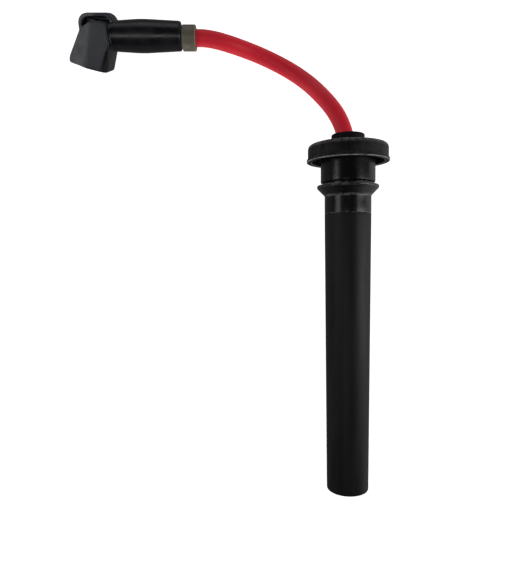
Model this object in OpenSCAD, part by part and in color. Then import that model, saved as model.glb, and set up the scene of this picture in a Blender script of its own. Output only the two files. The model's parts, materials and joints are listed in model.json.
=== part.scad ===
// Spark plug lead: a long plug tube with a well seal, a bent high-tension lead and a right-angle
// coil boot. It lies on a flat surface at z = 0. Millimetres, +Z up, tube roughly along Y.

/* [Plug tube] */
// Length of the tube that shows below the neck boot
tube_len = 134.8; // [100:0.1:180]
// Outside diameter of the tube at its mouth
tube_mouth_d = 20.2; // [19.6:0.1:23]
// Outside diameter of the tube where it meets the neck boot
tube_top_d = 22.1; // [21.4:0.1:25]
// Diameter of the bore that runs the length of the tube
tube_bore_d = 13; // [11:0.1:14]
// Rounding of the rim at the tube's mouth
mouth_round = 1.2; // [0.4:0.1:1.4]
// Wall of the neck boot over the spigot
boot_wall = 0.8; // [0.6:0.05:1.2]

/* [Plug sleeve] */
// Diameter of the plug insulator that the sleeve grips
insulator_d = 10.3; // [9.6:0.1:10.8]
// Outside diameter of the sleeve
sleeve_d = 15.8; // [14.6:0.1:16.4]
// Length of the sleeve
sleeve_len = 44; // [36:0.5:60]
// Depth of the sleeve's front face inside the tube's mouth
sleeve_recess = 2; // [0:0.1:4]
// Length of the sleeve's gripping bore
grip_len = 20; // [14:0.5:24]

/* [Neck boot] */
// Length of the glossy band below the sealing bead
band_len = 8.5; // [6:0.1:12]
// Largest diameter of the sealing bead
bead_d = 29.4; // [27.5:0.1:34]
// Height of the cone under the bead
cone_h = 3.7; // [3:0.1:6]
// Height of the bead's straight land
land_h = 1.2; // [1:0.1:2.5]
// Diameter of the neck
neck_d = 25.8; // [23:0.1:27]
// Length of the neck from the bead up to the underside of the cap's top
neck_len = 17.4; // [14:0.1:22]
// Thickness of the neck boot's closed top
neck_top = 6.6; // [4:0.1:8]

/* [Seal cap] */
// Outside diameter of the cap's skirt
cap_d = 38; // [34:0.1:46]
// Height of the cap from its rim to its flat top
cap_h = 8.2; // [6:0.1:10]
// Wall of the cap
cap_wall = 1.8; // [1.2:0.1:2.4]
// How far the rim's lip stands out from the skirt
lip_out = 0.6; // [0:0.1:1.2]
// Height of the rim's lip
lip_h = 1.2; // [0.8:0.1:2]
// Rounding of the cap's top edge
cap_round = 2.4; // [1:0.1:3.5]

/* [Grommet] */
// Diameter of the grommet's head
collar_d = 15.7; // [15.4:0.1:20]
// Height of the grommet's head above the cap
collar_h = 4.8; // [3:0.1:6]
// Diameter of the grommet's shank through the cap and the neck's top
shank_d = 14.2; // [13.8:0.1:15]
// Diameter of the grommet's retaining flange
flange_d = 17.2; // [16.4:0.1:19]
// Thickness of the retaining flange
flange_h = 1.8; // [1.2:0.1:2.6]
// Diameter of the flared opening at the top of the grommet
flare_d = 12.8; // [11.8:0.1:13]

/* [Lead] */
// Outside diameter of the lead's jacket
lead_d = 8; // [6.7:0.1:8.5]
// Thickness of the jacket
jacket_wall = 0.85; // [0.6:0.05:1]
// Thickness of the glass-fibre braid
braid_wall = 0.25; // [0.2:0.05:0.4]
// Diameter of the wire-wound core
core_d = 2.4; // [1.8:0.1:3]
// Length of core that stands out of a cut end
core_out = 6; // [4:0.5:8]
// Radial clearance between the lead and the pieces that it turns in
turn_gap = 0.05; // [0.02:0.01:0.1]
// Length of the guide bush in the tube
guide_len = 12; // [6:0.5:20]

/* [Terminals] */
// Sheet thickness of the terminals
sheet = 0.5; // [0.4:0.05:0.6]
// Length of a crimp barrel
crimp_len = 12; // [8:0.5:14]
// Diameter of the plug's top nut that the plug terminal snaps on
plug_nut_d = 6.4; // [6:0.1:6.8]
// Length of the plug terminal's cup
plug_cup_len = 11; // [9:0.5:14]
// Length of the neck between the plug terminal's cup and its crimp
plug_neck_len = 9; // [7:0.5:12]
// Diameter of the coil contact that the coil terminal grips
coil_pin_d = 6; // [5:0.1:6.6]
// Wire diameter of the spring rings round the cups
clip_wire = 0.7; // [0.5:0.05:0.9]

/* [Coil boot] */
// Distance from the elbow's corner to the outer face of the boot ring
boot_reach = 49; // [46:0.5:60]
// Diameter of the barrel at its ends
barrel_d = 13.6; // [12.8:0.1:16]
// Diameter of the barrel's swollen middle
barrel_swell_d = 15.2; // [13.6:0.1:17]
// How far the barrel's outside sits behind the lead's axis
barrel_rise = 0.8; // [0:0.1:1]
// Outside diameter of the boot ring
ring_d = 12; // [11.6:0.1:13]
// Length of the boot ring
ring_len = 6.4; // [4:0.1:9]
// Width of the groove between the ring and the barrel
ring_groove = 0.6; // [0.5:0.1:1.5]
// Diameter of the coil tower that the seal grips
tower_d = 14; // [11.6:0.1:14.4]
// Length of the socket that takes the tower and its seal
tower_len = 7.5; // [6:0.1:8]
// Wall of the rubber seal round the tower
seal_wall = 0.8; // [0.6:0.05:1]
// Width across the socket
socket_w = 21; // [20:0.1:25]
// Depth of the socket from its flat front to its back
socket_t = 20; // [19.6:0.1:24]
// Width of the flat on the socket's front
socket_flat = 11; // [10:0.1:13]
// Distance from the elbow's corner to the socket's mouth
socket_reach = 13.4; // [12.8:0.1:16]
// Distance from the barrel's axis to the back of the hood
hood_back = 11.1; // [10:0.1:14]
// Width across the hood
hood_w = 16.6; // [15:0.1:19]
// Wall of the hood
hood_wall = 1.6; // [1.2:0.1:2.4]
// Angle by which the socket leans away from square to the barrel
elbow_lean = 14; // [0:0.5:20]
// Turn of the boot about its barrel, which brings the socket's mouth down to the surface
boot_roll = 27; // [0:1:40]

/* [Hidden] */
$fn = 64;
eps = 0.01;     // overlap that makes a cut pass cleanly through a face
round_fn = 32;  // segments of the small arcs in the outlines

// Heights along the plug tube, measured up from its mouth
band_z = tube_len;
cone_z = band_z + band_len;
land_z = cone_z + cone_h;
neck_z = land_z + land_h;
cap_under_z = neck_z + neck_len;
cap_top_z = cap_under_z + cap_wall;
rim_z = cap_top_z - cap_h;
exit_h = cap_top_z + collar_h;
neck_floor_z = cap_under_z - neck_top;
flange_z = neck_floor_z - flange_h;
spigot_z = flange_z - 0.5;
sleeve_z = sleeve_recess + sleeve_len;
lead_r = lead_d / 2;
turn_r = lead_r + turn_gap;
spigot_r = tube_top_d / 2 - boot_wall;

// Where the lead starts to bend inside the grommet, and where its straight tail is cut
bend_depth = 12.2;
bend_z = exit_h - bend_depth;
cup_behind_grip = 2.5;
plug_cup_z = sleeve_recess + grip_len + cup_behind_grip;
tail_z = plug_cup_z + plug_cup_len + plug_neck_len;

// The lead leaves the grommet at lead_exit and ends at the boot ring at lead_far
lead_exit = [57.5, 55.5, 20.4];
lead_far = [-15.2, 103.8, 15.2];
lean = 0.5;     // turn of the tube away from the Y axis
rim_r = cap_d / 2 + lip_out;
lie_angle = atan((rim_r - tube_mouth_d / 2) / rim_z);
tube_dir = [-sin(lean) * cos(lie_angle), cos(lean) * cos(lie_angle), sin(lie_angle)];
lead_start = lead_exit - bend_depth * tube_dir;

// Points that the free lead follows between its straight ends
ROUTE = [
    [55.9, 57.2, 20.6],
    [52.5, 65.1, 20.1],
    [48.5, 71.3, 18.3],
    [44.8, 76.7, 15.1],
    [41.1, 82.8, 9.8],
    [35.0, 89.2, 5.9],
    [27.7, 94.4, 4.1],
    [20.0, 98.2, 4.2],
    [12.9, 100.6, 5.9],
    [6.9, 101.7, 8.5],
    [2.0, 102.1, 11.6],
    [-5.1, 103.1, 14.4]
];
end_step = 4;
path_points = concat(
    [lead_start - end_step * tube_dir, lead_start, lead_start + end_step * tube_dir],
    ROUTE,
    [lead_far + [end_step, 0, 0], lead_far, lead_far - [end_step, 0, 0]]
);
ring_sides = 12;
steps = 3;      // rings along each step of the route

// Coil boot, measured from the elbow's corner
corner = lead_far - [boot_reach, 0, 0];
barrel_end_x = boot_reach - ring_len - ring_groove;
spigot_in = 5;
ring_spigot_r = ring_d / 2 - 1.2;
block_edge = 1.2;
socket_side = 3;
side_in = 1;
front_round = 3.6;
back_cut = 3;
back_bevel = 5;
hood_middle = 2.1;
hood_round = 4.6;
hood_low = -socket_t / 2 + 2;
hood_high = 4;
hood_floor = 4;
head_left = -socket_w / 2 + 3.5;
head_right = 9.4;
front_left = -1;
head_arc_x = 3.2;
head_arc_r = 12;
head_gap = 1.6;
plug_back = 8.2;
plug_h = 2.4;
crimp_r = turn_r + sheet;
coil_cup_r = coil_pin_d / 2 + sheet;
crimp_start_x = coil_cup_r + 8;
crimp_room_r = crimp_r + 0.35;
chamber_r = coil_cup_r + clip_wire + 0.5;
coil_cup_z = socket_reach - tower_len - 0.8;
seal_r = tower_d / 2 + seal_wall;
seal_lead_in = 0.6;

// --- helpers ---

// Lays a piece of the plug end down, so that its exit meets the free lead
module laid_plug() {
    translate(lead_exit) rotate([lie_angle - 90, 0, lean]) translate([0, 0, -exit_h]) children();
}

// Puts a piece of the coil boot in place, barrel along +X
module placed_boot() {
    translate(corner) rotate([boot_roll, 0, 0]) children();
}

// Turns a shape built upwards so that it points out of the socket's mouth
module along_socket() {
    rotate([90, 0, -elbow_lean]) children();
}

// Turns a shape built upwards so that it points along the barrel
module along_barrel() {
    rotate([90, 0, 90]) children();
}

// Points of an arc about (x, y), from one angle to another
function arc(x, y, r, from, to, n = 8) =
    [for (i = [0:n]) let (a = from + (to - from) * i / n) [x + r * cos(a), y + r * sin(a)]];

module pipe(r_out, r_in, z_low, z_high) {
    translate([0, 0, z_low]) difference() {
        cylinder(r = r_out, h = z_high - z_low);
        translate([0, 0, -eps]) cylinder(r = r_in, h = z_high - z_low + 2 * eps);
    }
}

// --- plug end ---

module plug_tube() {
    mouth_r = tube_mouth_d / 2;
    color("#2b2b2d") laid_plug() rotate_extrude() polygon(concat(
        [[sleeve_d / 2, 0]],
        arc(mouth_r - mouth_round, mouth_round, mouth_round, -90, 0),
        [
            [tube_top_d / 2, band_z],
            [spigot_r, band_z],
            [spigot_r, spigot_z],
            [tube_bore_d / 2, spigot_z],
            [tube_bore_d / 2, sleeve_z],
            [sleeve_d / 2, sleeve_z]
        ]
    ));
}

module plug_sleeve() {
    grip_r = insulator_d / 2;
    room_r = turn_r + sheet + clip_wire + 0.4;
    lead_in = 1.2;
    color("#3a3a3c") laid_plug() rotate_extrude() polygon([
        [grip_r + lead_in, sleeve_recess],
        [sleeve_d / 2, sleeve_recess],
        [sleeve_d / 2, sleeve_z],
        [room_r, sleeve_z],
        [room_r, sleeve_recess + grip_len + 1],
        [grip_r, sleeve_recess + grip_len],
        [grip_r, sleeve_recess + lead_in]
    ]);
}

module lead_guide() {
    middle = (sleeve_z + spigot_z) / 2;
    color("#4a4a4c") laid_plug()
        pipe(tube_bore_d / 2, turn_r, middle - guide_len / 2, middle + guide_len / 2);
}

module neck_boot() {
    bead_r = bead_d / 2;
    edge = 0.3;
    color("#222225") laid_plug() rotate_extrude() polygon(concat(
        [
            [spigot_r, band_z],
            [tube_top_d / 2, band_z],
            [tube_top_d / 2, cone_z],
            [bead_r, land_z]
        ],
        arc(bead_r - edge, neck_z - edge, edge, 0, 90, 4),
        arc(neck_d / 2 + edge, neck_z + edge, edge, 270, 180, 4),
        [
            [neck_d / 2, cap_under_z],
            [shank_d / 2, cap_under_z],
            [shank_d / 2, neck_floor_z],
            [flange_d / 2, neck_floor_z],
            [flange_d / 2, flange_z - 0.2],
            [spigot_r, flange_z - 0.2]
        ]
    ));
}

module seal_cap() {
    outer = cap_d / 2;
    inner = outer - cap_wall;
    inner_round = max(cap_round - cap_wall, 0.4);
    color("#1f2120") laid_plug() rotate_extrude() polygon(concat(
        [
            [inner, rim_z],
            [rim_r, rim_z],
            [rim_r, rim_z + lip_h],
            [outer, rim_z + lip_h + lip_out]
        ],
        arc(outer - cap_round, cap_top_z - cap_round, cap_round, 0, 90),
        [
            [shank_d / 2, cap_top_z],
            [shank_d / 2, cap_under_z]
        ],
        arc(inner - inner_round, cap_under_z - inner_round, inner_round, 90, 0, 4)
    ));
}

module top_grommet() {
    edge = 0.7;
    color("#1a1a1c") laid_plug() rotate_extrude() polygon(concat(
        [
            [turn_r, flange_z],
            [flange_d / 2, flange_z],
            [flange_d / 2, neck_floor_z],
            [shank_d / 2, neck_floor_z],
            [shank_d / 2, cap_top_z],
            [collar_d / 2, cap_top_z]
        ],
        arc(collar_d / 2 - edge, exit_h - edge, edge, 0, 90, 4),
        [
            [flare_d / 2, exit_h],
            [turn_r, bend_z]
        ]
    ));
}

// --- lead ---

function curve_point(p, i, t) = (
    pow(1 - t, 3) * p[i]
    + (3 * pow(t, 3) - 6 * pow(t, 2) + 4) * p[i + 1]
    + (-3 * pow(t, 3) + 3 * pow(t, 2) + 3 * t + 1) * p[i + 2]
    + pow(t, 3) * p[i + 3]
) / 6;

function curve_slope(p, i, t) = (
    -pow(1 - t, 2) * p[i]
    + (3 * pow(t, 2) - 4 * t) * p[i + 1]
    + (-3 * pow(t, 2) + 2 * t + 1) * p[i + 2]
    + pow(t, 2) * p[i + 3]
) / 2;

function unit(v) = v / norm(v);

function tube_ring(centre, along, r) =
    let (side = unit(cross(along, [0, 0, 1])), up = cross(side, along))
    [for (k = [0:ring_sides - 1])
        let (a = 360 * k / ring_sides) centre + r * (cos(a) * side + sin(a) * up)];

module swept_tube(p, r) {
    spans = len(p) - 3;
    stations = concat(
        [for (i = [0:spans - 1], k = [0:steps - 1]) [i, k / steps]],
        [[spans - 1, 1]]
    );
    count = len(stations);
    rings = [for (s = stations)
        each tube_ring(curve_point(p, s[0], s[1]), unit(curve_slope(p, s[0], s[1])), r)];
    walls = [for (j = [0:count - 2], k = [0:ring_sides - 1])
        let (a = j * ring_sides, next = (k + 1) % ring_sides)
        [a + k, a + next, a + ring_sides + next, a + ring_sides + k]];
    first = [for (k = [ring_sides - 1:-1:0]) k];
    last = [for (k = [0:ring_sides - 1]) (count - 1) * ring_sides + k];
    polyhedron(points = rings, faces = concat(walls, [first, last]), convexity = 6);
}

module lead() {
    color("#c8102e") swept_tube(path_points, lead_r);
}

module lead_tail() {
    color("#c8102e") laid_plug() pipe(lead_r, lead_r - jacket_wall, tail_z, bend_z);
}

module lead_braid() {
    outer = lead_r - jacket_wall;
    color("#e8e4d8") laid_plug() pipe(outer, outer - braid_wall, tail_z, bend_z);
}

module lead_insulation() {
    color("#303030") laid_plug()
        pipe(lead_r - jacket_wall - braid_wall, core_d / 2, tail_z, bend_z);
}

module lead_core() {
    color("#8a8a8c") laid_plug() translate([0, 0, tail_z - core_out])
        cylinder(d = core_d, h = bend_z - tail_z + core_out);
}

module plug_terminal() {
    cup_r = plug_nut_d / 2 + sheet;
    tail_r = core_d / 2 + sheet;
    neck_top_z = tail_z - 1;
    slots = 4;
    slot_w = 0.8;
    color("#c9cbd0") laid_plug() difference() {
        rotate_extrude() polygon([
            [cup_r - sheet, plug_cup_z],
            [cup_r, plug_cup_z],
            [cup_r, plug_cup_z + plug_cup_len],
            [tail_r, plug_cup_z + plug_cup_len + 1.5],
            [tail_r, neck_top_z - 1.5],
            [lead_r + sheet, neck_top_z],
            [lead_r + sheet, tail_z + crimp_len],
            [lead_r, tail_z + crimp_len],
            [lead_r, tail_z - 0.4],
            [core_d / 2, neck_top_z - 1],
            [core_d / 2, plug_cup_z + plug_cup_len + 1],
            [cup_r - sheet, plug_cup_z + plug_cup_len - 0.5]
        ]);
        for (k = [0:slots / 2 - 1]) rotate(180 * k / slots * 2)
            translate([-cup_r - 1, -slot_w / 2, plug_cup_z - eps])
                cube([2 * cup_r + 2, slot_w, plug_cup_len * 0.7]);
    }
}

module cup_clip(r, z) {
    // open spring ring: the gap lets it spread as the cup snaps on
    color("#b8bcc4") rotate([0, 0, 20]) translate([0, 0, z])
        rotate_extrude(angle = 320) translate([r + clip_wire / 2, 0]) circle(d = clip_wire);
}

module plug_terminal_clip() {
    laid_plug() cup_clip(plug_nut_d / 2 + sheet, plug_cup_z + 3);
}

module lead_coil_end() {
    color("#c8102e") placed_boot() along_barrel() difference() {
        translate([0, 0, crimp_start_x]) cylinder(r = lead_r, h = boot_reach - crimp_start_x);
        translate([0, 0, crimp_start_x - eps])
            cylinder(d = core_d, h = boot_reach - crimp_start_x + 2 * eps);
    }
}

module coil_end_core() {
    color("#8a8a8c") placed_boot() along_barrel() translate([0, 0, crimp_start_x - core_out / 2])
        cylinder(d = core_d, h = boot_reach - crimp_start_x + core_out / 2);
}

// --- coil boot ---

// Section across the socket, front up: one long bevel, a flat, and a well rounded side
module socket_section(inset) {
    w = socket_w / 2;
    t = socket_t / 2;
    bevel = socket_w - socket_flat;
    offset(r = block_edge, $fn = round_fn) offset(delta = -block_edge - inset) polygon(concat(
        [[-w, socket_side], [-w + bevel, t]],
        arc(w - side_in - front_round, t - front_round, front_round, 90, 0, 5),
        [
            [w - side_in, back_cut - t], [w - side_in - back_cut, -t],
            [back_bevel - w, -t], [-w, back_bevel - t]
        ]
    ));
}

// Outline of the elbow's head in the plane of barrel and socket: its back is an arc
module head_outline(left, inset) {
    back = hood_back - hood_wall - head_gap;
    offset(r = block_edge, $fn = round_fn) offset(delta = -block_edge - inset) polygon(concat(
        [[left, -4], [head_right, -4]],
        arc(head_arc_x, back - head_arc_r, head_arc_r, 65, 115, 6),
        [[left, 4]]
    ));
}

module socket_block() {
    front = socket_t / 2;
    hull() {
        along_socket() translate([0, 0, socket_reach - 0.5])
            linear_extrude(0.5) socket_section(0.4);
        along_socket() translate([0, 0, socket_reach - 3]) linear_extrude(2) socket_section(0);
        translate([0, 0, -front + 1]) linear_extrude(front) head_outline(head_left, 0);
        translate([0, 0, front - 1.4]) linear_extrude(1) head_outline(front_left, 0.5);
    }
}

// The hood is a round-cornered tray behind the elbow, square to the barrel
module hood_outline(inset) {
    left = hood_middle - hood_w / 2;
    right = hood_middle + hood_w / 2;
    offset(delta = -inset) polygon(concat(
        [[left, 0]],
        arc(left + hood_round, hood_back - hood_round, hood_round, 180, 90, 5),
        arc(right - hood_round, hood_back - hood_round, hood_round, 90, 0, 5),
        [[right, 0]]
    ));
}

module hood() {
    height = hood_high - hood_low;
    translate([0, 0, hood_low]) difference() {
        linear_extrude(height) hood_outline(0);
        translate([0, 0, hood_floor]) linear_extrude(height) hood_outline(hood_wall);
    }
}

module barrel() {
    end_r = barrel_d / 2;
    edge = 0.9;
    swell_x = barrel_end_x * 0.55;
    translate([0, barrel_rise, 0]) along_barrel() rotate_extrude() polygon(concat(
        [[0, 0], [end_r, 0], [end_r, 8], [barrel_swell_d / 2, swell_x - 2], [barrel_swell_d / 2, swell_x + 2]],
        arc(end_r - edge, barrel_end_x - edge, edge, 0, 90, 5),
        [[0, barrel_end_x]]
    ));
}

module coil_boot() {
    color("#26262a") placed_boot() difference() {
        union() {
            socket_block();
            hood();
            barrel();
        }
        along_barrel() {
            translate([0, 0, crimp_start_x - 4]) cylinder(r = crimp_room_r, h = crimp_len + 6);
            cylinder(r = turn_r, h = boot_reach);
            translate([0, 0, barrel_end_x - spigot_in]) cylinder(r = ring_spigot_r, h = spigot_in + eps);
        }
        along_socket() {
            translate([0, 0, socket_reach - tower_len]) cylinder(r = seal_r, h = tower_len + 1);
            translate([0, 0, -coil_cup_r - 1.5]) cylinder(r = chamber_r, h = socket_reach);
            translate([0, 0, -plug_back]) cylinder(r = chamber_r, h = plug_back);
        }
    }
}

module boot_ring() {
    edge = 0.5;
    color("#4d4c40") placed_boot() along_barrel() rotate_extrude() polygon(concat(
        [
            [turn_r, barrel_end_x - spigot_in],
            [ring_spigot_r, barrel_end_x - spigot_in],
            [ring_spigot_r, boot_reach - ring_len],
            [ring_d / 2 - edge, boot_reach - ring_len],
            [ring_d / 2, boot_reach - ring_len + edge]
        ],
        arc(ring_d / 2 - edge, boot_reach - edge, edge, 0, 90, 4),
        [[turn_r, boot_reach]]
    ));
}

module tower_seal() {
    grip_r = tower_d / 2;
    face_z = socket_reach - seal_lead_in;
    shelf_z = socket_reach - tower_len;
    color("#39393b") placed_boot() along_socket() rotate_extrude() polygon([
        [grip_r, shelf_z],
        [seal_r, shelf_z],
        [seal_r, face_z],
        [grip_r + seal_wall / 2, face_z],
        [grip_r, face_z - seal_lead_in]
    ]);
}

module elbow_plug() {
    color("#303034") placed_boot() along_socket()
        translate([0, 0, -plug_back]) cylinder(r = chamber_r, h = plug_h);
}

module coil_terminal() {
    crimp_end = crimp_start_x + crimp_len;
    tail_r = core_d / 2 + turn_gap + sheet;
    slot_w = 0.8;
    color("#c9cbd0") placed_boot() difference() {
        union() {
            along_barrel() {
                cylinder(r = tail_r, h = crimp_start_x - 1);
                translate([0, 0, crimp_start_x - 1.5]) cylinder(r = crimp_r, h = crimp_len);
            }
            along_socket() translate([0, 0, -coil_cup_r]) cylinder(r = coil_cup_r, h = coil_cup_z + coil_cup_r);
        }
        along_barrel() {
            translate([0, 0, crimp_start_x - turn_gap * 4]) cylinder(r = turn_r, h = crimp_len);
            translate([0, 0, crimp_start_x - core_out / 2 - 0.3])
                cylinder(r = core_d / 2 + turn_gap, h = core_out);
        }
        along_socket() translate([0, 0, -coil_cup_r + sheet])
            cylinder(r = coil_cup_r - sheet, h = socket_reach);
        along_socket() translate([-slot_w / 2, -socket_t, tail_r + 0.4])
            cube([slot_w, 2 * socket_t, socket_reach]);
    }
}

module coil_terminal_clip() {
    placed_boot() along_socket() cup_clip(coil_cup_r, coil_cup_z - 1.2);
}

plug_tube();
plug_sleeve();
lead_guide();
neck_boot();
seal_cap();
top_grommet();
lead();
lead_tail();
lead_braid();
lead_insulation();
lead_core();
plug_terminal();
plug_terminal_clip();
lead_coil_end();
coil_end_core();
coil_boot();
boot_ring();
tower_seal();
elbow_plug();
coil_terminal();
coil_terminal_clip();
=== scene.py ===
# A spark plug lead: plug tube and well seal, bent red lead, and right-angle coil boot.
# Sizes are in millimetres, and MM turns them into metres.
import json
import math
import bmesh
import bpy
from mathutils import Matrix, Vector


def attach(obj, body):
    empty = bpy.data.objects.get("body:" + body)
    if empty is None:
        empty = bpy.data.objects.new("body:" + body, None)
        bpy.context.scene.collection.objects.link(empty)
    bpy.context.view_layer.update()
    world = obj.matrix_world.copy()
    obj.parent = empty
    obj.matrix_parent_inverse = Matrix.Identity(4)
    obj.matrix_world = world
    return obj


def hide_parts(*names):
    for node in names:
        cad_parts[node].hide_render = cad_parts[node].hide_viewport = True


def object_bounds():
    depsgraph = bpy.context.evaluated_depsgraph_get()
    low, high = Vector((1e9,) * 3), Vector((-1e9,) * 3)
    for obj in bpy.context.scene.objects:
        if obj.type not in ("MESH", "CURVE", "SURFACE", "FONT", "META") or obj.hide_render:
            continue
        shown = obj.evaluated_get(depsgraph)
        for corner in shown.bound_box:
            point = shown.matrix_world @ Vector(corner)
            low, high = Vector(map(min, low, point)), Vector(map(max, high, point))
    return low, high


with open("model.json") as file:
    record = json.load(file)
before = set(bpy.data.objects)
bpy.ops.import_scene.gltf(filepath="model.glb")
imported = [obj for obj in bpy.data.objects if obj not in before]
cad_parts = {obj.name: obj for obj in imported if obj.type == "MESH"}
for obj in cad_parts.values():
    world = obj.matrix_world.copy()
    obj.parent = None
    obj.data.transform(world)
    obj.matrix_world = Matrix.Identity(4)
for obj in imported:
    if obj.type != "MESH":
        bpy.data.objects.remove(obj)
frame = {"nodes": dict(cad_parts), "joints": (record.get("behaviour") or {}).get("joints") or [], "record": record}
cad_low, cad_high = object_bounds()


# ---- Bench, light and camera ----
# The lead lies on a white bench and is seen from straight above. One narrow softbox hangs high
# over it, a tall one stands at the right of the tube, and two weak ones fill in.
MM = 0.001
EYE_PLACE = (13.8, -17.6, 277)
LENS = 33.69
BENCH_SIDE = 20000
BENCH_GLOW = 0.93
REFLECTED_LEFT = 0.13
REFLECTED_RIGHT = 0.62
FADE_FROM = 60
FADE_TO = 130
ROOM_COLOUR = (0.92, 0.95, 1, 1)
ROOM_GLOW = 0.03
ROOM_SEEN = 0.93

camera = bpy.data.objects.new("eye", bpy.data.cameras.new("eye"))
camera.location = Vector(EYE_PLACE) * MM
camera.data.lens = LENS
camera.data.clip_start = 10 * MM
bpy.context.scene.collection.objects.link(camera)
bpy.context.scene.camera = camera
bpy.context.scene.view_settings.view_transform = "Standard"

bench_mesh = bmesh.new()
bmesh.ops.create_grid(bench_mesh, x_segments=1, y_segments=1, size=BENCH_SIDE * MM / 2)
bmesh.ops.translate(bench_mesh, verts=bench_mesh.verts, vec=(0, 0, cad_low.z))
bench = bpy.data.objects.new("bench", bpy.data.meshes.new("bench"))
bench_mesh.to_mesh(bench.data)
bench_mesh.free()
bpy.context.scene.collection.objects.link(bench)


class Wire:
    """The output of a node. Sums on it add the Math nodes that work them out."""

    def __init__(self, tree, socket):
        self.tree = tree
        self.socket = socket

    def node(self, kind, inputs=None, output=0, **settings):
        """Adds a node: its settings come first, then its inputs, as wires or values."""
        new = self.tree.nodes.new(kind)
        for name, value in settings.items():
            setattr(new, name, value)
        for name, value in (inputs or {}).items():
            if isinstance(value, Wire):
                self.tree.links.new(value.socket, new.inputs[name])
            else:
                new.inputs[name].default_value = value
        return Wire(self.tree, new.outputs[output])

    def maths(self, operation, first, second=0.0):
        return self.node("ShaderNodeMath", {0: first, 1: second}, operation=operation)

    def __add__(self, other):
        return self.maths("ADD", self, other)

    def __sub__(self, other):
        return self.maths("SUBTRACT", self, other)

    def __rsub__(self, other):
        return self.maths("SUBTRACT", other, self)

    def __mul__(self, other):
        return self.maths("MULTIPLY", self, other)

    __radd__ = __add__
    __rmul__ = __mul__


def mixed(amount, first, second):
    """The first shader where the amount is 0 and the second where it is 1."""
    return amount.node("ShaderNodeMixShader", {0: amount, 1: first, 2: second})


bench_paint = bpy.data.materials.new("bench_paint")
bench_paint.use_nodes = True
bench_shader = bench_paint.node_tree.nodes["Principled BSDF"]
bench_shader.inputs["Base Color"].default_value = (0.9, 0.9, 0.9, 1)
bench_shader.inputs["Roughness"].default_value = 0.9
bench_shader.inputs["Specular IOR Level"].default_value = 0.1
bench_shader.inputs["Emission Color"].default_value = (1, 1, 1, 1)
bench_shader.inputs["Emission Strength"].default_value = BENCH_GLOW
bench.data.materials.append(bench_paint)

# Reflections see a greyer bench, a painted reflection that stands in for black cards round a
# shiny part. It is painted palest at the right, where the tall softbox lights it.
white = Wire(bench_paint.node_tree, bench_shader.outputs["BSDF"])
spot = white.node("ShaderNodeNewGeometry", output="Position")
across = white.node("ShaderNodeSeparateXYZ", {0: spot}, output="X")
fade = white.node("ShaderNodeMapRange", {
    "Value": across, "From Min": FADE_FROM * MM, "From Max": FADE_TO * MM,
})
dark_reflection_paint = white.node("ShaderNodeEmission", {"Strength": REFLECTED_LEFT})
pale_reflection_paint = white.node("ShaderNodeEmission", {"Strength": REFLECTED_RIGHT})
reflected = white.node("ShaderNodeLightPath", output="Is Glossy Ray")
top = mixed(reflected, white, mixed(fade, dark_reflection_paint, pale_reflection_paint))
white.tree.links.new(top.socket, white.tree.nodes["Material Output"].inputs["Surface"])

# The room is pale to the eye, and gives almost no light.
room = bpy.data.worlds.new("room")
room.use_nodes = True
air = room.node_tree.nodes["Background"]
air.inputs["Color"].default_value = ROOM_COLOUR
air.inputs["Strength"].default_value = ROOM_GLOW
dim = Wire(room.node_tree, air.outputs["Background"])
pale = dim.node("ShaderNodeBackground", {"Color": ROOM_COLOUR, "Strength": ROOM_SEEN})
walls = mixed(dim.node("ShaderNodeLightPath", output="Is Camera Ray"), dim, pale)
dim.tree.links.new(walls.socket, dim.tree.nodes["World Output"].inputs["Surface"])
bpy.context.scene.world = room


def softbox(name, place, target, width, height, watts):
    """A rectangular area light at one point that faces another, all in millimetres."""
    light = bpy.data.lights.new(name, "AREA")
    light.shape = "RECTANGLE"
    light.size = width * MM
    light.size_y = height * MM
    light.energy = watts
    lamp = bpy.data.objects.new(name, light)
    lamp.location = Vector(place) * MM
    lamp.rotation_euler = (Vector(target) - Vector(place)).to_track_quat("-Z", "Y").to_euler()
    bpy.context.scene.collection.objects.link(lamp)


softbox("overhead", (-230, -240, 890), (-230, 100, 10), 400, 90, 0.85)
softbox("right_strip", (620, -60, 290), (40, -20, 10), 170, 620, 1.7)
softbox("back_box", (-20, 560, 260), (-30, 100, 10), 500, 300, 0.35)
softbox("head_fill", (-290, 10, 230), (-66, 100, 12), 160, 160, 0.2)


# ---- Lead ----
# Silicone jacket over a glass braid, rubber insulation and a wound core, 8 mm across. It is
# bought by length, and its own stiffness holds it in the bend between the two boots.
LEAD_RADIUS = 4
BEND_DEPTH = 12.2
END_STEP = 4
ROUTE = [
    (55.9, 57.2, 20.6),
    (52.5, 65.1, 20.1),
    (48.5, 71.3, 18.3),
    (44.8, 76.7, 15.1),
    (41.1, 82.8, 9.8),
    (35.0, 89.2, 5.9),
    (27.7, 94.4, 4.1),
    (20.0, 98.2, 4.2),
    (12.9, 100.6, 5.9),
    (6.9, 101.7, 8.5),
    (2.0, 102.1, 11.6),
    (-5.1, 103.1, 14.4),
]

joints = {joint["name"]: joint for joint in frame["joints"]}
lead_exit = Vector(joints["lead_swivel"]["pos_m"]) / MM
tube_way = Vector(joints["lead_swivel"]["axis"]).normalized()
lead_far = Vector(joints["coil_boot_swivel"]["pos_m"]) / MM
barrel_way = Vector(joints["coil_boot_swivel"]["axis"]).normalized()


def noise(place, size, detail=3.0, rough=0.5):
    """Cloudy variation from 0 to 1, with features of about this size."""
    return place.node(
        "ShaderNodeTexNoise",
        {"Vector": place, "Scale": 1 / size, "Detail": detail, "Roughness": rough},
    )


def between(wire, low, high):
    """0 below low, 1 above high, and smooth between them."""
    return wire.node(
        "ShaderNodeMapRange",
        {"Value": wire, "From Min": low, "From Max": high},
        interpolation_type="SMOOTHSTEP",
    )


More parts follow.
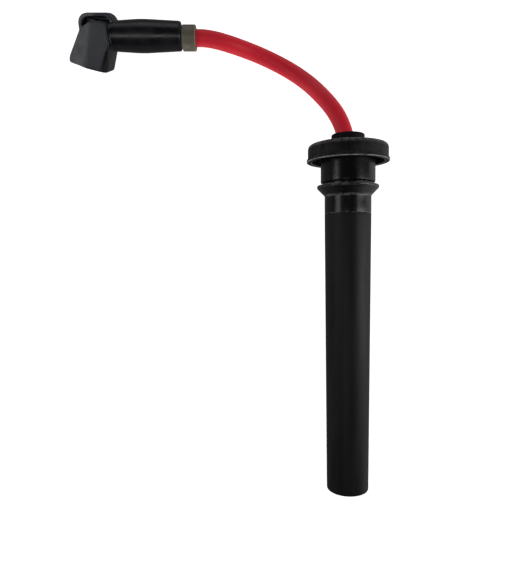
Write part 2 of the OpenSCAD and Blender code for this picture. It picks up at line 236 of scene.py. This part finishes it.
def tinted(wire, plain, changed):
    """The plain colour where the wire is 0 and the changed one where it is 1."""
    return wire.node(
        "ShaderNodeMix",
        {0: wire, 6: (*plain, 1), 7: (*changed, 1)},
        output=2,
        data_type="RGBA",
    )


class Finish:
    """A material being made: its Principled shader, and millimetres in the piece's own frame."""

    def __init__(self, name, place=None, **plain):
        self.material = bpy.data.materials.new(name)
        self.material.use_nodes = True
        tree = self.material.node_tree
        self.shader = tree.nodes["Principled BSDF"]
        for words, value in plain.items():
            self.shader.inputs[words.replace("_", " ")].default_value = value
        back = (place or Matrix.Identity(4)).inverted()
        seen = Wire(tree, tree.nodes.new("ShaderNodeTexCoord").outputs["Object"])
        self.place = seen.node("ShaderNodeMapping", {
            "Vector": seen,
            "Location": back.translation / MM,
            "Rotation": back.to_euler(),
            "Scale": (1 / MM,) * 3,
        })
        # The attribute of edges painted paler: partly wear, and partly painted highlight.
        self.worn_and_highlit = seen.node("ShaderNodeAttribute", output="Fac", attribute_name="worn_and_highlit")

    def set(self, colour, roughness, relief, depth):
        """Links the varying colour and roughness, and the relief, which is so many mm deep."""
        place = self.place
        normal = place.node(
            "ShaderNodeBump", {"Height": relief, "Strength": 1.0, "Distance": depth * MM}
        )
        for name, wire in (("Base Color", colour), ("Roughness", roughness), ("Normal", normal)):
            place.tree.links.new(wire.socket, self.shader.inputs[name])
        return self.material


def silicone(name, plain, shaded):
    """Smooth extruded silicone, with faint marks and a bloom of dust."""
    finish = Finish(name, Specular_IOR_Level=0.2)
    spot = finish.place
    cloud = noise(spot, 9)
    speck = between(noise(spot, 0.5, 5), 0.62, 0.72)
    relief = noise(spot, 0.25, 4) + noise(spot, 2.5) * 1.5
    colour = tinted(cloud * 0.55 + speck * 0.12, plain, shaded)
    return finish.set(colour, 0.36 + cloud * 0.16 + speck * 0.1, relief, 0.03)


red_silicone = silicone("red_silicone", (0.95, 0.030, 0.052), (0.76, 0.022, 0.046))
side_step = END_STEP * barrel_way
lead_start = lead_exit - BEND_DEPTH * tube_way
control_points = [lead_start + step * END_STEP * tube_way for step in (-1, 0, 1)]
control_points += [Vector(point) for point in ROUTE]
control_points += [lead_far + side_step, lead_far, lead_far - side_step]

lead_curve = bpy.data.curves.new("red_lead", "CURVE")
lead_curve.dimensions = "3D"
lead_curve.resolution_u = 12
lead_curve.bevel_depth = LEAD_RADIUS * MM
lead_curve.bevel_resolution = 10
lead_curve.use_fill_caps = True
strand = lead_curve.splines.new("NURBS")
strand.points.add(len(control_points) - 1)
for knot, point in zip(strand.points, control_points):
    knot.co = (*(point * MM), 1)
strand.order_u = 4
strand.use_smooth = True
lead_curve.materials.append(red_silicone)
red_lead = bpy.data.objects.new("red_lead", lead_curve)
bpy.context.scene.collection.objects.link(red_lead)
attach(red_lead, "lead")
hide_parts("lead")


# The lead's inner layers, and the jacket in the two boots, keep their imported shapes. The core's
# wire is wound in a close spiral, and shows where the insulation is cut back.
CORE_RADIUS = 1.2
CORE_OUT = 6
WINDING_PITCH = 0.32
WINDING_SINK = 0.03
WINDING_WIRE = 0.48 * WINDING_PITCH
TAIL_HEIGHT = 44.5
EXIT_HEIGHT = 172.2

sideways = tube_way.cross(Vector((0, 0, 1))).normalized()
plug_turn = Matrix((sideways, tube_way.cross(sideways), tube_way)).transposed()
plug_place = Matrix.Translation((lead_exit - EXIT_HEIGHT * tube_way) * MM) @ plug_turn.to_4x4()


def dress(node, material):
    """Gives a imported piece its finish."""
    slots = frame["nodes"][node].data.materials
    slots.clear()
    slots.append(material)


def glass_braid(name, place):
    """Off-white glass yarn, woven one over one round the insulation."""
    finish = Finish(name, place, Specular_IOR_Level=0.3)
    spot = finish.place
    across = spot.node(
        "ShaderNodeTexWave", {"Vector": spot, "Scale": 0.55, "Distortion": 0.6}, output="Fac"
    )
    along = spot.node(
        "ShaderNodeTexWave", {"Vector": spot, "Scale": 0.55, "Distortion": 0.6}, output="Fac",
        bands_direction="Z",
    )
    weave = across * along
    colour = tinted(weave, (0.34, 0.31, 0.26), (0.78, 0.75, 0.68))
    return finish.set(colour, 0.85 - weave * 0.2, weave, 0.1)


def drawn_metal(name, colour, tarnish, grain):
    """Formed or drawn metal: fine marks of this size, and a slightly uneven tarnish."""
    finish = Finish(name, Metallic=1.0)
    spot = finish.place
    cloud = noise(spot, 2.2, 4)
    marks = noise(spot, grain, 2)
    shade = tinted(cloud * 0.7, colour, tarnish)
    return finish.set(shade, 0.24 + cloud * 0.2 + marks * 0.1, marks, 0.01)


def node_tree(name, sizes):
    """A new Geometry Nodes tree with these inputs, and a wire from each of them."""
    tree = bpy.data.node_groups.new(name, "GeometryNodeTree")
    tree.interface.new_socket("Geometry", in_out="OUTPUT", socket_type="NodeSocketGeometry")
    for size, kind in sizes.items():
        tree.interface.new_socket(size, in_out="INPUT", socket_type="NodeSocket" + kind)
    inlet = tree.nodes.new("NodeGroupInput")
    return tree, {size: Wire(tree, inlet.outputs[size]) for size in sizes}


def end_tree(shape, finish):
    """Closes a tree: real geometry, smooth, in its finish."""
    real = shape.node("GeometryNodeRealizeInstances", {"Geometry": shape})
    smooth = shape.node("GeometryNodeSetShadeSmooth", {"Geometry": real})
    dressed = shape.node("GeometryNodeSetMaterial", {"Geometry": smooth, "Material": finish})
    outlet = shape.tree.nodes.new("NodeGroupOutput")
    shape.tree.links.new(dressed.socket, outlet.inputs["Geometry"])


def grown(name, tree, place, **sizes):
    """Runs a tree with these sizes, and gives its result as a plain mesh in its place."""
    carrier = bpy.data.objects.new(name, bpy.data.meshes.new(name))
    bpy.context.scene.collection.objects.link(carrier)
    modifier = carrier.modifiers.new(name, "NODES")
    modifier.node_group = tree
    for item in tree.interface.items_tree:
        if item.in_out == "INPUT":
            modifier[item.identifier] = sizes[item.name.replace(" ", "_")]
    seen = carrier.evaluated_get(bpy.context.evaluated_depsgraph_get())
    mesh = bpy.data.meshes.new_from_object(seen)
    carrier.modifiers.remove(modifier)
    mesh.transform(place)
    carrier.data = mesh
    return carrier


winding_tree, size = node_tree("core_winding", {
    "Radius": "Float", "Length": "Float", "Turns": "Float", "Wire": "Float",
    "Finish": "Material",
})
coil = size["Radius"].node("GeometryNodeCurveSpiral", {
    "Resolution": 20, "Rotations": size["Turns"], "Height": size["Length"],
    "Start Radius": size["Radius"], "End Radius": size["Radius"],
})
wire_round = coil.node(
    "GeometryNodeCurvePrimitiveCircle", {"Resolution": 6, "Radius": size["Wire"]}
)
strung = coil.node(
    "GeometryNodeCurveToMesh", {"Curve": coil, "Profile Curve": wire_round, "Fill Caps": True}
)
end_tree(strung, size["Finish"])

core_wire = drawn_metal("core_wire", (0.46, 0.43, 0.39), (0.30, 0.26, 0.21), 0.3)
core_winding = grown(
    "core_winding", winding_tree,
    plug_place @ Matrix.Translation((0, 0, (TAIL_HEIGHT - CORE_OUT) * MM)),
    Radius=(CORE_RADIUS - WINDING_SINK) * MM, Length=CORE_OUT * MM,
    Turns=CORE_OUT / WINDING_PITCH, Wire=WINDING_WIRE * MM, Finish=core_wire,
)
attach(core_winding, "lead")
black_rubber = silicone("insulation_rubber", (0.03, 0.03, 0.03), (0.05, 0.05, 0.05))
dress("lead_tail", red_silicone)
dress("lead_braid", glass_braid("glass_braid", plug_place))
dress("lead_insulation", black_rubber)
dress("lead_core", core_wire)
dress("lead_coil_end", red_silicone)
dress("coil_end_core", core_wire)


# ---- Plug terminal ----
# A straight terminal rolled from steel sheet and crimped on the lead. Its slotted cup snaps on
# the plug's top nut, and an open ring of spring wire holds the fingers closed.
PLUG_CUP_HEIGHT = 24.5
PLUG_CUP_RADIUS = 3.7
CLIP_WIRE = 0.7
CLIP_RISE = 3
CLIP_START = math.radians(20)
CLIP_SWEEP = math.radians(320)

terminal_steel = drawn_metal("terminal_steel", (0.60, 0.61, 0.63), (0.42, 0.41, 0.40), 0.25)
clip_steel = drawn_metal("clip_steel", (0.55, 0.56, 0.58), (0.35, 0.35, 0.36), 0.15)
dress("plug_terminal", terminal_steel)

ring_tree, size = node_tree("spring_ring", {
    "Radius": "Float", "Wire": "Float", "Sweep": "Float", "Finish": "Material",
})
bow = size["Radius"].node("GeometryNodeCurveArc", {
    "Resolution": 72, "Radius": size["Radius"], "Sweep Angle": size["Sweep"],
})
wire_round = bow.node(
    "GeometryNodeCurvePrimitiveCircle", {"Resolution": 14, "Radius": size["Wire"]}
)
bent = bow.node(
    "GeometryNodeCurveToMesh", {"Curve": bow, "Profile Curve": wire_round, "Fill Caps": True}
)
end_tree(bent, size["Finish"])


def spring_ring(name, place, height, radius, body, node):
    """The open wire ring round a terminal's cup, at this height up the cup's axis."""
    seat = place @ Matrix.Translation((0, 0, height * MM)) @ Matrix.Rotation(CLIP_START, 4, "Z")
    ring = grown(
        name, ring_tree, seat, Radius=(radius + CLIP_WIRE / 2) * MM, Wire=CLIP_WIRE / 2 * MM,
        Sweep=CLIP_SWEEP, Finish=clip_steel,
    )
    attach(ring, body)
    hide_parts(node)


spring_ring(
    "plug_spring_ring", plug_place, PLUG_CUP_HEIGHT + CLIP_RISE, PLUG_CUP_RADIUS,
    "lead", "plug_terminal_clip",
)


# ---- Plug tube ----
# One long moulding of matt black plastic, a little wider at the top, where it steps in to the
# spigot under the neck boot. The core pin's draw leaves faint marks down its length.
TUBE_LENGTH = 134.8
MOUTH_RADIUS = 10.1
TUBE_TOP_RADIUS = 11.05
BORE_RADIUS = 6.5
SPIGOT_RADIUS = 10.25
SPIGOT_TOP = 156.7
SLEEVE_RADIUS = 7.9
SLEEVE_TOP = 46
ARC_STEPS = 6
LONGEST_SPAN = 2.5
WELD = 0.001
SHARP_ANGLE = math.radians(38)


def rounded(corners):
    """A closed outline through (r, h, rounding, pale edge) corners, as (r, h, pale edge); pale edges are wear and
    painted highlight.
    """
    outline = []
    count = len(corners)
    full = [(*corner, 0, 0)[:4] for corner in corners]
    for k, (radius, height, rounding, wear_and_highlight) in enumerate(full):
        here = Vector((radius, height))
        back = Vector(full[k - 1][:2]) - here
        on = Vector(full[(k + 1) % count][:2]) - here
        reach = min(rounding, 0.49 * back.length, 0.49 * on.length)
        start = here + back.normalized() * reach
        end = here + on.normalized() * reach
        steps = ARC_STEPS if rounding else 0
        if outline:
            before = Vector(outline[-1][:2])
            spans = math.ceil((start - before).length / LONGEST_SPAN)
            outline += [(*before.lerp(start, n / spans), 0) for n in range(1, spans)]
        for n in range(steps + 1):
            t = n / max(steps, 1)
            point = start * (1 - t) ** 2 + here * 2 * t * (1 - t) + end * t**2
            outline.append((*point, wear_and_highlight * math.sin(math.pi * t)))
    return outline


def turned(name, corners, place, material, segments=144):
    """A round piece: the outline of these corners, turned about the height axis."""
    mesh = bmesh.new()
    # Each ring keeps how pale its edge is painted: partly wear, and partly painted highlight.
    worn_and_highlit = mesh.verts.layers.float.new("worn_and_highlit")
    rings = []
    for radius, height, wear_and_highlight in rounded(corners):
        ring = []
        for k in range(segments):
            angle = math.tau * k / segments
            spot = (radius * math.cos(angle), radius * math.sin(angle), height)
            ring.append(mesh.verts.new(Vector(spot) * MM))
            ring[-1][worn_and_highlit] = wear_and_highlight
        rings.append(ring)
    for low, high in zip(rings, rings[1:] + rings[:1]):
        for k in range(segments):
            mesh.faces.new((low[k - 1], low[k], high[k], high[k - 1]))
    bmesh.ops.remove_doubles(mesh, verts=mesh.verts, dist=WELD * MM)
    return settled(name, mesh, place, material)


def settled(name, mesh, place, material):
    """Makes a piece of a bmesh: outward normals, smooth faces, sharp edges, its place."""
    mesh.transform(place)
    bmesh.ops.recalc_face_normals(mesh, faces=mesh.faces)
    piece = bpy.data.objects.new(name, bpy.data.meshes.new(name))
    mesh.to_mesh(piece.data)
    mesh.free()
    piece.data.shade_smooth()
    piece.data.set_sharp_from_angle(angle=SHARP_ANGLE)
    piece.data.materials.append(material)
    bpy.context.scene.collection.objects.link(piece)
    return piece


def moulding(
    name, place, colour, haze, rub_and_highlight, gloss, grain, drag=1.0, dust=0.1, shine=0.4, dull_head_painted_light=None,
):
    """Moulded black plastic or rubber. Haze clouds it, and its rounded edges are painted paler,
    partly as wear and partly as painted highlight. Gloss is its lowest and highest roughness,
    grain the relief's size and depth in mm, and drag under 1 draws the haze out along the piece.
    The head's painted light makes one end rougher and paints it lighter: the painted colours of
    its lit facet and of the rest, the direction across it, and where the facet and end fade out."""
    finish = Finish(name, place, Specular_IOR_Level=shine)
    spot = finish.place
    drawn = spot.node(
        "ShaderNodeVectorMath", {0: spot, 1: (1, 1, drag)}, operation="MULTIPLY"
    )
    cloud = between(noise(drawn, 5.5, 4, 0.6), 0.35, 0.75)
    speck = between(noise(drawn, 0.45, 5, 0.7), 0.60, 0.76)
    fine = noise(spot, grain[0], 3)
    hazed = cloud * 0.7 + speck * dust
    # Rounded edges painted paler: partly wear, and partly painted highlight.
    rubbed_and_highlit = finish.worn_and_highlit * between(noise(spot, 1.6, 4, 0.6), 0.25, 0.6)
    plain = tinted(hazed, colour, haze)
    colour_wire = plain.node(
        "ShaderNodeMix", {0: rubbed_and_highlit, 6: plain, 7: (*rub_and_highlight, 1)}, output=2, data_type="RGBA"
    )
    low, high = gloss
    rough = low + (high - low) * (fine * 0.4 + cloud * 0.6) + rubbed_and_highlit * 0.1
    if dull_head_painted_light:
        # Painted light on the head: a pale lit left facet, and a greyer rest of the head.
        pale, painted_head_grey, across, facet_fade, end_fade = dull_head_painted_light
        side = spot.node(
            "ShaderNodeVectorMath", {0: spot, 1: across}, output="Value", operation="DOT_PRODUCT"
        )
        head = (1 - between(side, *end_fade)) * (0.7 + cloud * 0.3)
        facets = tinted(between(side, *facet_fade), pale, painted_head_grey)
        colour_wire = plain.node(
            "ShaderNodeMix", {0: head, 6: colour_wire, 7: facets}, output=2, data_type="RGBA"
        )
        rough = rough + head * 0.22
    relief = fine + noise(drawn, 3.5, 2) * 2
    return finish.set(colour_wire, rough, relief, grain[1])


tube_plastic = moulding(
    "tube_plastic", plug_place, (0.0065, 0.0065, 0.007), (0.015, 0.015, 0.016),
    (0.05, 0.05, 0.052), (0.44, 0.60), (0.35, 0.02), drag=0.12, shine=0.24,
)
tube = turned("tube_shell", [
    (SLEEVE_RADIUS, 0, 0.4, 0.4),
    (MOUTH_RADIUS, 0, 1.2, 0.5),
    (TUBE_TOP_RADIUS, TUBE_LENGTH, 0.3, 0.5),
    (SPIGOT_RADIUS, TUBE_LENGTH),
    (SPIGOT_RADIUS, SPIGOT_TOP, 0.4),
    (BORE_RADIUS, SPIGOT_TOP, 0.4),
    (BORE_RADIUS, SLEEVE_TOP),
    (SLEEVE_RADIUS, SLEEVE_TOP),
], plug_place, tube_plastic)
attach(tube, "plug_end")
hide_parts("plug_tube")


# ---- Plug sleeve and lead guide ----
# A soft silicone sleeve pressed in the tube's mouth. Ribs in its bore seal on the plug's
# insulator. A plain bush further up keeps the lead in the middle of the tube.
SLEEVE_RECESS = 2
GRIP_LENGTH = 20
GRIP_RADIUS = 5.15
GRIP_STEP = 1
SLEEVE_LEAD_IN = 1.2
TERMINAL_ROOM = 5.65
RIB_COUNT = 5
RIB_PITCH = 3.2
RIB_RADIUS = 0.3

sleeve_silicone = moulding(
    "sleeve_silicone", plug_place, (0.045, 0.045, 0.05), (0.075, 0.075, 0.08),
    (0.12, 0.12, 0.12), (0.5, 0.7), (0.3, 0.03), shine=0.3,
)
sleeve = turned("sleeve_body", [
    (GRIP_RADIUS + SLEEVE_LEAD_IN, SLEEVE_RECESS, 0.5, 0.4),
    (SLEEVE_RADIUS, SLEEVE_RECESS, 0.3),
    (SLEEVE_RADIUS, SLEEVE_TOP),
    (TERMINAL_ROOM, SLEEVE_TOP),
    (TERMINAL_ROOM, SLEEVE_RECESS + GRIP_LENGTH + GRIP_STEP),
    (GRIP_RADIUS, SLEEVE_RECESS + GRIP_LENGTH, 0.4),
    (GRIP_RADIUS, SLEEVE_RECESS + SLEEVE_LEAD_IN, 0.4),
], plug_place, sleeve_silicone)
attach(sleeve, "plug_end")
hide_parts("plug_sleeve")

rib_tree, size = node_tree("bore_ribs", {
    "Count": "Int", "Pitch": "Float", "Bore": "Float", "Rib": "Float", "Finish": "Material",
})
hoop = size["Bore"].node(
    "GeometryNodeCurvePrimitiveCircle", {"Resolution": 96, "Radius": size["Bore"]}
)
rib_round = hoop.node(
    "GeometryNodeCurvePrimitiveCircle", {"Resolution": 10, "Radius": size["Rib"]}
)
rib = hoop.node("GeometryNodeCurveToMesh", {"Curve": hoop, "Profile Curve": rib_round})
step = hoop.node("ShaderNodeCombineXYZ", {"Z": size["Pitch"]})
seats = hoop.node("GeometryNodeMeshLine", {"Count": size["Count"], "Offset": step})
row = hoop.node("GeometryNodeInstanceOnPoints", {"Points": seats, "Instance": rib})
end_tree(row, size["Finish"])


def bore_ribs(name, place, height, count, bore, material, body):
    """Sealing ribs in a bore, the first at this height up its axis."""
    ribs = grown(
        name, rib_tree, place @ Matrix.Translation((0, 0, height * MM)),
        Count=count, Pitch=RIB_PITCH * MM, Bore=(bore + RIB_RADIUS / 2) * MM,
        Rib=RIB_RADIUS * MM, Finish=material,
    )
    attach(ribs, body)


bore_ribs(
    "sleeve_ribs", plug_place, SLEEVE_RECESS + 2 * SLEEVE_LEAD_IN, RIB_COUNT, GRIP_RADIUS,
    sleeve_silicone, "plug_end",
)
dress("lead_guide", sleeve_silicone)


# ---- Neck boot ----
# Glossy moulded rubber, pushed over the tube's spigot: a plain band, the cone and bead that
# seal in the plug well, and the neck that carries the cap.
BAND_TOP = 143.3
BEAD_LOW = 147
BEAD_TOP = 148.2
BEAD_RADIUS = 14.7
NECK_RADIUS = 12.9
GROOVE = 0.9
NECK_TOP = 165.6
NECK_FLOOR = 159
SHANK_RADIUS = 7.1
FLANGE_RADIUS = 8.6
FLANGE_LOW = 157.2
SPIGOT_GAP = 0.2

neck_rubber = moulding(
    "neck_rubber", plug_place, (0.003, 0.003, 0.004), (0.008, 0.008, 0.009),
    (0.22, 0.22, 0.22), (0.20, 0.34), (0.8, 0.03), drag=0.3, dust=0.15, shine=0.4,
)
# The fourth numbers paint the band, cone and bead edges pale: partly wear, partly painted highlight arcs.
neck = turned("neck_and_bead", [
    (SPIGOT_RADIUS, TUBE_LENGTH),
    (TUBE_TOP_RADIUS, TUBE_LENGTH, 0.35, 0.8),
    (TUBE_TOP_RADIUS, BAND_TOP, 0.8, 0.5),
    (BEAD_RADIUS, BEAD_LOW, 0.9, 0.2),
    (BEAD_RADIUS, BEAD_TOP, 0.6, 1.0),
    (NECK_RADIUS - GROOVE, BEAD_TOP, 0.1),
    (NECK_RADIUS - GROOVE, BEAD_TOP + GROOVE, 0.1),
    (NECK_RADIUS, BEAD_TOP + 1.6 * GROOVE, 0.3),
    (NECK_RADIUS, NECK_TOP),
    (SHANK_RADIUS, NECK_TOP),
    (SHANK_RADIUS, NECK_FLOOR),
    (FLANGE_RADIUS, NECK_FLOOR),
    (FLANGE_RADIUS, FLANGE_LOW - SPIGOT_GAP),
    (SPIGOT_RADIUS, FLANGE_LOW - SPIGOT_GAP),
], plug_place, neck_rubber)
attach(neck, "plug_end")
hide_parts("neck_boot")


# ---- Seal cap ----
# A hollow mushroom cap of softer, chalky rubber. It sits over the raised lip of the plug well
# and keeps water out; its thin rim is painted pale, partly as wear and partly as painted highlight.
CAP_RADIUS = 19
CAP_WALL = 1.8
RIM_HEIGHT = 159.2
RIM_RADIUS = 19.6
LIP_HEIGHT = 1.2
LIP_BLEND = 0.6
CAP_TOP = 167.4

cap_rubber = moulding(
    "cap_rubber", plug_place, (0.002, 0.0025, 0.002), (0.042, 0.045, 0.042),
    (0.45, 0.45, 0.45), (0.46, 0.66), (0.5, 0.05), drag=0.35, dust=0.45, shine=0.22,
)
cap = turned("mushroom_cap", [
    (CAP_RADIUS - CAP_WALL, RIM_HEIGHT, 0.3, 0.9),
    (RIM_RADIUS, RIM_HEIGHT, 0.45, 1.0),
    (RIM_RADIUS, RIM_HEIGHT + LIP_HEIGHT, 1.0),
    (CAP_RADIUS, RIM_HEIGHT + LIP_HEIGHT + LIP_BLEND, 1.0),
    (CAP_RADIUS, CAP_TOP, 2.4, 0.25),
    (SHANK_RADIUS, CAP_TOP),
    (SHANK_RADIUS, NECK_TOP),
    (CAP_RADIUS - CAP_WALL, NECK_TOP, 0.8),
], plug_place, cap_rubber)
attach(cap, "plug_end")
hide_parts("seal_cap")


# ---- Grommet ----
# A spool of matt rubber, pulled through the cap and the neck's top. Its flared mouth lets the
# lead bend and turn where it comes out.
HEAD_RADIUS = 7.85
FLARE_RADIUS = 6.4
LEAD_HOLE = 4.05

grommet_rubber = moulding(
    "grommet_rubber", plug_place, (0.003, 0.0025, 0.004), (0.008, 0.007, 0.010),
    (0.05, 0.05, 0.05), (0.45, 0.62), (0.4, 0.04), shine=0.15,
)
grommet = turned("lead_grommet", [
    (LEAD_HOLE, FLANGE_LOW),
    (FLANGE_RADIUS, FLANGE_LOW, 0.3),
    (FLANGE_RADIUS, NECK_FLOOR),
    (SHANK_RADIUS, NECK_FLOOR),
    (SHANK_RADIUS, CAP_TOP),
    (HEAD_RADIUS, CAP_TOP, 0.2),
    (HEAD_RADIUS, EXIT_HEIGHT, 0.8, 0.4),
    (FLARE_RADIUS, EXIT_HEIGHT, 0.4),
    (LEAD_HOLE, EXIT_HEIGHT - BEND_DEPTH),
], plug_place, grommet_rubber)
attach(grommet, "plug_end")
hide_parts("top_grommet")


# ---- Coil terminal ----
# The same sheet steel as the plug's, but at a right angle: a crimp along the barrel, and a cup
# across it that grips the coil's contact.
BOOT_REACH = 49
ELBOW_LEAN = math.radians(14)
COIL_CUP_RADIUS = 3.5
COIL_CUP_HEIGHT = 5.1
COIL_CLIP_DROP = 1.2

mounts = {mount["name"]: mount for mount in frame["record"]["mounts"]}
mouth_way = Vector(mounts["coil_socket"]["axis"])
boot_roll = math.atan2(-mouth_way.z, -mouth_way.y)
corner = lead_far - BOOT_REACH * barrel_way
boot_place = Matrix.Translation(corner * MM) @ Matrix.Rotation(boot_roll, 4, "X")
barrel_place = boot_place @ Matrix.Rotation(math.pi / 2, 4, "Y")
socket_place = (
    boot_place @ Matrix.Rotation(-ELBOW_LEAN, 4, "Z") @ Matrix.Rotation(math.pi / 2, 4, "X")
)

dress("coil_terminal", terminal_steel)
spring_ring(
    "coil_spring_ring", socket_place, COIL_CUP_HEIGHT - COIL_CLIP_DROP, COIL_CUP_RADIUS,
    "coil_end", "coil_terminal_clip",
)


# ---- Coil boot ----
# The elbow, its hood and the barrel are one moulding of hard black plastic. Every edge comes
# rounded from the mould, and the head is rougher than the barrel, which hands have polished.
# The head's colour has painted light: greyer overall, and palest on its left facet, where light falls.
VOXEL = 0.28
SOFTENING = 9
# Where the painted light on the head's left facet, and on the head itself, fades out across the head.
FACET_FADE = (-2.5, 0.5)
HEAD_FADE = (5.5, 8)


def softened(name, node, material):
    """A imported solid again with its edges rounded, as a mould leaves them."""
    mesh = bmesh.new()
    mesh.from_mesh(frame["nodes"][node].data)
    bmesh.ops.remove_doubles(mesh, verts=mesh.verts, dist=WELD * MM)
    rough = bpy.data.objects.new(name, bpy.data.meshes.new(name))
    mesh.to_mesh(rough.data)
    mesh.free()
    bpy.context.scene.collection.objects.link(rough)
    remesh = rough.modifiers.new("remesh", "REMESH")
    remesh.mode = "VOXEL"
    remesh.voxel_size = VOXEL * MM
    smooth = rough.modifiers.new("smooth", "SMOOTH")
    smooth.factor = 0.5
    smooth.iterations = SOFTENING
    seen = rough.evaluated_get(bpy.context.evaluated_depsgraph_get())
    fine = bmesh.new()
    fine.from_mesh(bpy.data.meshes.new_from_object(seen))
    bpy.data.objects.remove(rough)
    return settled(name, fine, Matrix.Identity(4), material)


# Its head's colours are painted light: a pale left facet where light falls from the left, and a greyer rest.
boot_plastic = moulding(
    "boot_plastic", boot_place, (0.004, 0.004, 0.006), (0.011, 0.011, 0.014),
    (0.06, 0.06, 0.06), (0.24, 0.44), (0.3, 0.015), shine=0.5,
    dull_head_painted_light=(
        (0.138, 0.141, 0.150), (0.034, 0.039, 0.049),
        (math.cos(ELBOW_LEAN), -math.sin(ELBOW_LEAN), 0), FACET_FADE, HEAD_FADE,
    ),
)
elbow = softened("elbow_moulding", "coil_boot", boot_plastic)
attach(elbow, "coil_end")
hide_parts("coil_boot")


# ---- Boot ring, tower seal and elbow plug ----
# The olive ring is a hard bush pressed in the barrel's end, where the lead turns. A rubber
# seal lines the socket, and a plug closes the hole behind the terminal.
RING_RADIUS = 6
RING_LENGTH = 6.4
RING_SPIGOT = 4.8
RING_IN = 37
TOWER_RADIUS = 7
SEAL_RADIUS = 7.8
SEAL_SHELF = 5.9
SEAL_FACE = 12.8
SEAL_FLARE = 0.4
SEAL_LEAD_IN = 0.6
PLUG_RADIUS = 4.7
PLUG_BACK = 8.2
PLUG_HEIGHT = 2.4
DIMPLE_RADIUS = 3.5
DIMPLE_FLOOR = 3.2
DIMPLE_DEPTH = 0.5

ring_plastic = moulding(
    "ring_plastic", barrel_place, (0.145, 0.132, 0.094), (0.235, 0.214, 0.166),
    (0.26, 0.24, 0.19), (0.42, 0.60), (0.5, 0.03), dust=0.2,
)
ring = turned("olive_ring", [
    (LEAD_HOLE, RING_IN),
    (RING_SPIGOT, RING_IN),
    (RING_SPIGOT, BOOT_REACH - RING_LENGTH),
    (RING_RADIUS, BOOT_REACH - RING_LENGTH, 0.4, 0.5),
    (RING_RADIUS, BOOT_REACH, 0.6, 0.8),
    (LEAD_HOLE, BOOT_REACH, 0.3),
], barrel_place, ring_plastic)
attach(ring, "coil_end")
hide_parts("boot_ring")

seal_rubber = moulding(
    "seal_rubber", socket_place, (0.03, 0.03, 0.032), (0.05, 0.05, 0.055),
    (0.08, 0.08, 0.08), (0.5, 0.7), (0.3, 0.03),
)
seal = turned("socket_seal", [
    (TOWER_RADIUS, SEAL_SHELF),
    (SEAL_RADIUS, SEAL_SHELF),
    (SEAL_RADIUS, SEAL_FACE, 0.2),
    (TOWER_RADIUS + SEAL_FLARE, SEAL_FACE, 0.2, 0.4),
    (TOWER_RADIUS, SEAL_FACE - SEAL_LEAD_IN),
], socket_place, seal_rubber)
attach(seal, "coil_end")
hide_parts("tower_seal")

plug_plastic = moulding(
    "plug_plastic", socket_place, (0.010, 0.010, 0.012), (0.022, 0.022, 0.024),
    (0.06, 0.06, 0.06), (0.4, 0.55), (0.4, 0.02),
)
stopper = turned("elbow_stopper", [
    (0, DIMPLE_DEPTH - PLUG_BACK),
    (DIMPLE_FLOOR, DIMPLE_DEPTH - PLUG_BACK, 0.2),
    (DIMPLE_RADIUS, -PLUG_BACK, 0.2, 0.5),
    (PLUG_RADIUS, -PLUG_BACK, 0.4, 0.5),
    (PLUG_RADIUS, PLUG_HEIGHT - PLUG_BACK),
    (0, PLUG_HEIGHT - PLUG_BACK),
], socket_place, plug_plastic)
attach(stopper, "coil_end")
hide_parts("elbow_plug")
